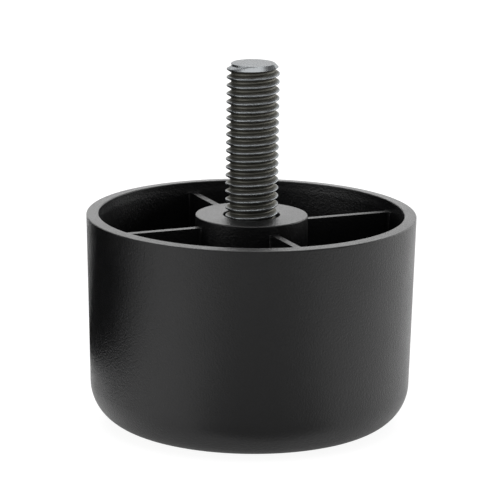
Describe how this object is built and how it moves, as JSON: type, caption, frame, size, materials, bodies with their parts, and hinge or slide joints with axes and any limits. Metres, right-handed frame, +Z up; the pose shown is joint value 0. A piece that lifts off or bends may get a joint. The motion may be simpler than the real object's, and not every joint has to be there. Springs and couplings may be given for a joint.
{
  "type": "sofa foot",
  "caption": "Round, cup-shaped furniture foot in black moulded plastic, with a ribbed central boss and a threaded steel stud standing up from it.",
  "frame": {"origin": "centre of the flat base, on the surface that the foot stands on", "axes": "+Z up along the stud; +X and +Y level, with the first rib 26.5 degrees from +X towards +Y"},
  "size_m": [0.05, 0.05, 0.0554],
  "materials": {
    "moulded_black": "injection moulded, fine matt grain",
    "zinc_steel": "rolled thread, bright zinc plated"
  },
  "bodies": {
    "root": {"foot_body": "moulded_black", "hex_bolt": "zinc_steel"}
  },
  "joints": []
}
